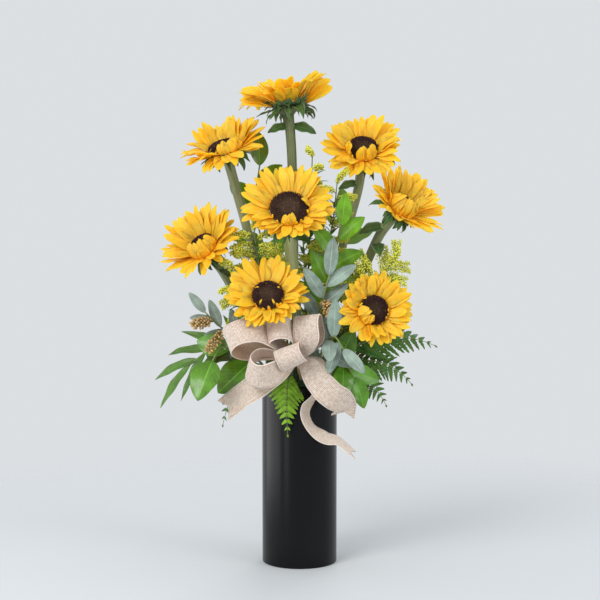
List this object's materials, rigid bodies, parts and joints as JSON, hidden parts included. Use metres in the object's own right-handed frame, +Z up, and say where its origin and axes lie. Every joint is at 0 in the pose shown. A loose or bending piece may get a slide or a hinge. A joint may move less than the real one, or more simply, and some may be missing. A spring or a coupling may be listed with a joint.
{
  "type": "flower arrangement",
  "caption": "Cut sunflowers with mixed foliage and a burlap bow, standing in floral foam in a tall black cylinder vase.",
  "frame": {"origin": "middle of the vase's flat underside", "axes": "+Z up along the vase's axis, -Y towards the front of the arrangement, where the bow is, +X to the viewer's right"},
  "size_m": [0.4025, 0.2841, 0.6838],
  "materials": {
    "vase": "glossy black",
    "foam": "matt, wet green foam",
    "petal": "matt golden yellow",
    "disc": "matt dark brown",
    "stem": "satin, hairy green",
    "goldenrod": "matt yellow-green",
    "eucalyptus": "matt, pale grey-green bloom",
    "seed": "matt golden brown",
    "lemon_leaf": "glossy green",
    "young_leaf": "glossy bright green",
    "ruscus": "satin green",
    "fern": "satin green",
    "burlap": "matt woven jute, blush beige",
    "pick": "matt"
  },
  "bodies": {
    "root": {"bow_pick": "pick", "bow_ribbon": "burlap", "eucalyptus_centre": "eucalyptus", "eucalyptus_left": "eucalyptus", "eucalyptus_right": "eucalyptus", "eucalyptus_seeds_centre": "seed", "eucalyptus_seeds_left": "seed", "eucalyptus_seeds_outer": "seed", "fern_back": "fern", "fern_back_left": "fern", "fern_back_right": "fern", "fern_front": "fern", "fern_left": "fern", "fern_right_lower": "fern", "fern_right_middle": "fern", "fern_right_upper": "fern", "floral_foam": "foam", "goldenrod_back": "goldenrod", "goldenrod_centre": "goldenrod", "goldenrod_left": "goldenrod", "goldenrod_left_low": "goldenrod", "goldenrod_mid_right": "goldenrod", "goldenrod_right": "goldenrod", "lemon_leaf_back": "lemon_leaf", "lemon_leaf_back_left": "lemon_leaf", "lemon_leaf_back_right": "lemon_leaf", "lemon_leaf_front_left": "lemon_leaf", "lemon_leaf_front_right": "lemon_leaf", "lemon_leaf_right": "young_leaf", "ruscus_left": "ruscus", "sunflower_centre_disc": "disc", "sunflower_centre_petals": "petal", "sunflower_centre_stem": "stem", "sunflower_front_disc": "disc", "sunflower_front_petals": "petal", "sunflower_front_stem": "stem", "sunflower_left_disc": "disc", "sunflower_left_petals": "petal", "sunflower_left_stem": "stem", "sunflower_lower_right_disc": "disc", "sunflower_lower_right_petals": "petal", "sunflower_lower_right_stem": "stem", "sunflower_right_disc": "disc", "sunflower_right_petals": "petal", "sunflower_right_stem": "stem", "sunflower_top_disc": "disc", "sunflower_top_petals": "petal", "sunflower_top_stem": "stem", "sunflower_upper_left_disc": "disc", "sunflower_upper_left_petals": "petal", "sunflower_upper_left_stem": "stem", "sunflower_upper_right_disc": "disc", "sunflower_upper_right_petals": "petal", "sunflower_upper_right_stem": "stem", "vase": "vase"}
  },
  "joints": []
}
